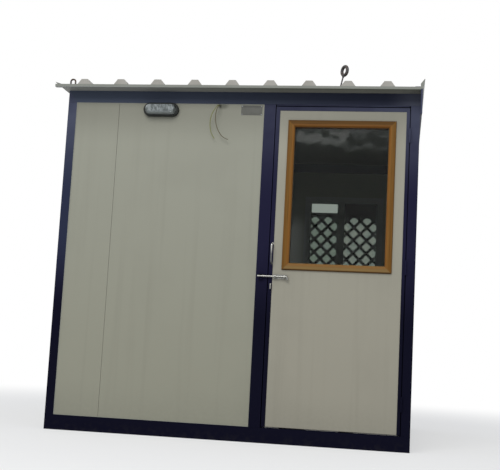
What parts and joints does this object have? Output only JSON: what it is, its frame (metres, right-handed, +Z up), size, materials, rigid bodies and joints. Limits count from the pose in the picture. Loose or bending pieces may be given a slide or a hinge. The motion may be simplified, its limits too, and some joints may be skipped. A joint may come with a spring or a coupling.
{
  "type": "security guard booth",
  "caption": "Portable guard booth with a welded steel frame, sandwich panel walls, ribbed roof, glazed hinged door with slide bolt, rear window and lamp.",
  "frame": {"origin": "on the ground under the middle of the booth, on the underside of the middle floor joist", "axes": "+X to the right seen from the door side, -Y out of the door wall, +Z up"},
  "size_m": [2.531, 2.666, 2.552],
  "materials": {
    "frame_paint": "navy blue gloss paint on welded steel",
    "panel_white": "off-white pre-painted sheet, satin",
    "roof_sheet": "light grey pre-painted roofing sheet",
    "trim_grey": "light grey folded flashing",
    "trim_navy": "dark folded flashing",
    "floor_board": "sealed floor board",
    "window_foil": "golden brown wood-look foil",
    "window_grey": "dulled grey aluminium profile",
    "window_glass": "clear glass",
    "grille_paint": "dark green-black paint",
    "fitting_chrome": "bright plated steel",
    "lamp_black": "black moulded housing",
    "lamp_lens": "ribbed clear lens",
    "wire_cover": "yellow-green wire cover",
    "lifting_steel": "dull lifting steel",
    "stop_seal": "navy blue door stop"
  },
  "bodies": {
    "booth": {"base_front_beam": "frame_paint", "base_rear_beam": "frame_paint", "base_side_beams": "frame_paint", "floor_joists": "frame_paint", "floor_deck": "floor_board", "corner_posts": "frame_paint", "door_post": "frame_paint", "top_front_beam": "frame_paint", "top_rear_beam": "frame_paint", "top_side_beams": "frame_paint", "front_wall_narrow_panel": "panel_white", "front_wall_wide_panel": "panel_white", "left_wall_panels": "panel_white", "right_wall_panels": "panel_white", "rear_wall_left_panels": "panel_white", "rear_wall_right_panel": "panel_white", "rear_wall_below_window": "panel_white", "rear_wall_above_window": "panel_white", "rear_window_frame": "window_grey", "rear_window_left_sash": "window_grey", "rear_window_right_sash": "window_grey", "rear_window_glass": "window_glass", "rear_window_grille": "grille_paint", "roof_panel": "roof_sheet", "roof_edge_trims": "trim_grey", "left_eave_trim": "trim_grey", "right_side_flashing": "trim_navy", "lifting_loops": "lifting_steel", "lifting_eyes": "lifting_steel", "door_stops": "stop_seal", "post_hinge_barrels": "frame_paint", "bolt_keeper": "frame_paint", "lamp_body": "lamp_black", "lamp_lens": "lamp_lens", "wire_outlet": "lamp_black", "right_wire": "wire_cover", "left_wire": "wire_cover"},
    "door": {"door_panel": "panel_white", "door_stiles": "frame_paint", "door_rails": "frame_paint", "door_window_frame": "window_foil", "door_window_inner_frame": "window_foil", "door_window_glass": "window_glass", "door_hinge_barrels": "frame_paint", "pull_handle": "fitting_chrome", "bolt_guides": "fitting_chrome", "lock_staple": "fitting_chrome"},
    "bolt": {"slide_bolt": "fitting_chrome"}
  },
  "joints": [
    {"name": "door_hinge", "type": "hinge", "parent": "booth", "child": "door", "pos_m": [1.157, -1.228, 1.18], "axis": [0, 0, 1], "range_deg": [0, 110]},
    {"name": "bolt_slide", "type": "slide", "parent": "door", "child": "bolt", "axis": [1, 0, 0], "range_m": [0, 0.08]}
  ]
}
